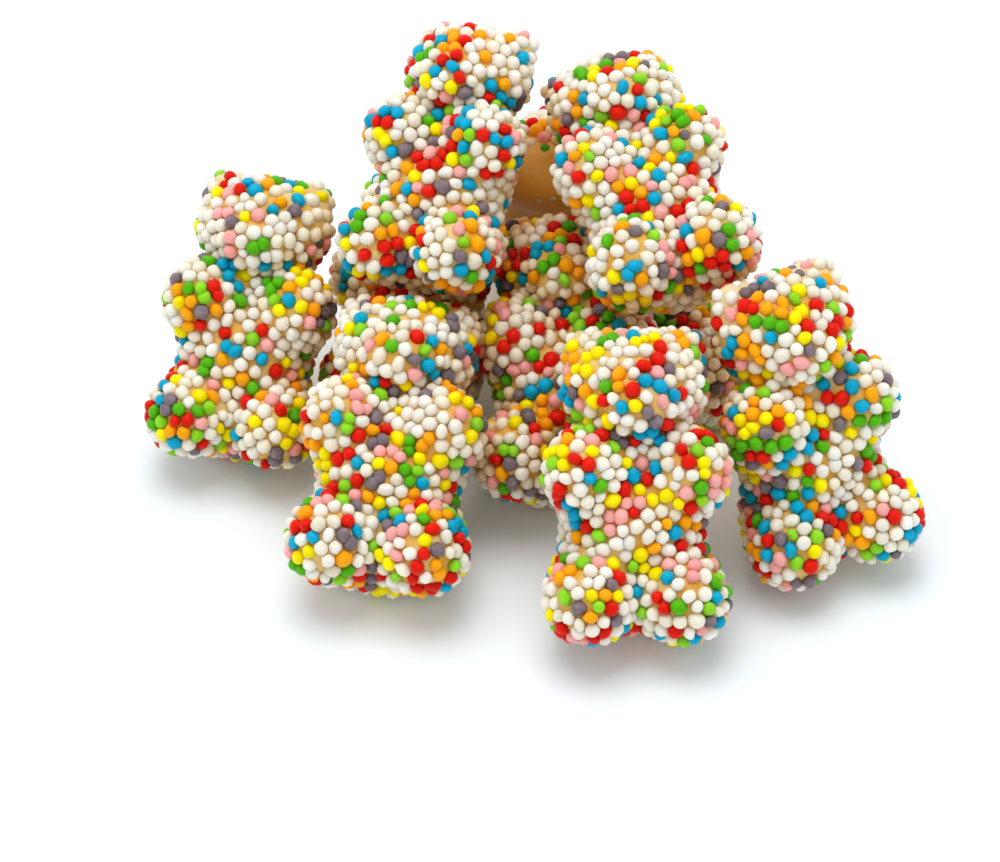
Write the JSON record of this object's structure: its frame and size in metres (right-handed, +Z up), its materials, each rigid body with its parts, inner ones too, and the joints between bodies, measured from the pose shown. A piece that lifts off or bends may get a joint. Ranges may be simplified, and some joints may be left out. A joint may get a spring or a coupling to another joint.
{
  "type": "heap of sprinkle-coated gummy bears",
  "caption": "Loose heap of soft gummy bears leaning on one another, each coated all over with small round multicoloured sugar nonpareils; a sweet to eat.",
  "frame": {"origin": "middle of the heap's footprint, on the surface it lies on", "axes": "+Z up, +X to the right of the heap as seen from its front, +Y to its back"},
  "size_m": [0.0718, 0.068, 0.035],
  "materials": {
    "sugar_coat": "close-set glazed sugar beads, mostly milky white with scattered bright colours, over tan translucent gummy"
  },
  "bodies": {
    "root": {"bear_front_centre": "sugar_coat", "bear_front_left": "sugar_coat", "bear_left": "sugar_coat", "bear_right": "sugar_coat", "bear_middle": "sugar_coat", "bear_middle_left": "sugar_coat", "bear_low_right": "sugar_coat", "bear_top_left": "sugar_coat", "bear_top_right": "sugar_coat", "bear_rear": "sugar_coat"}
  },
  "joints": []
}
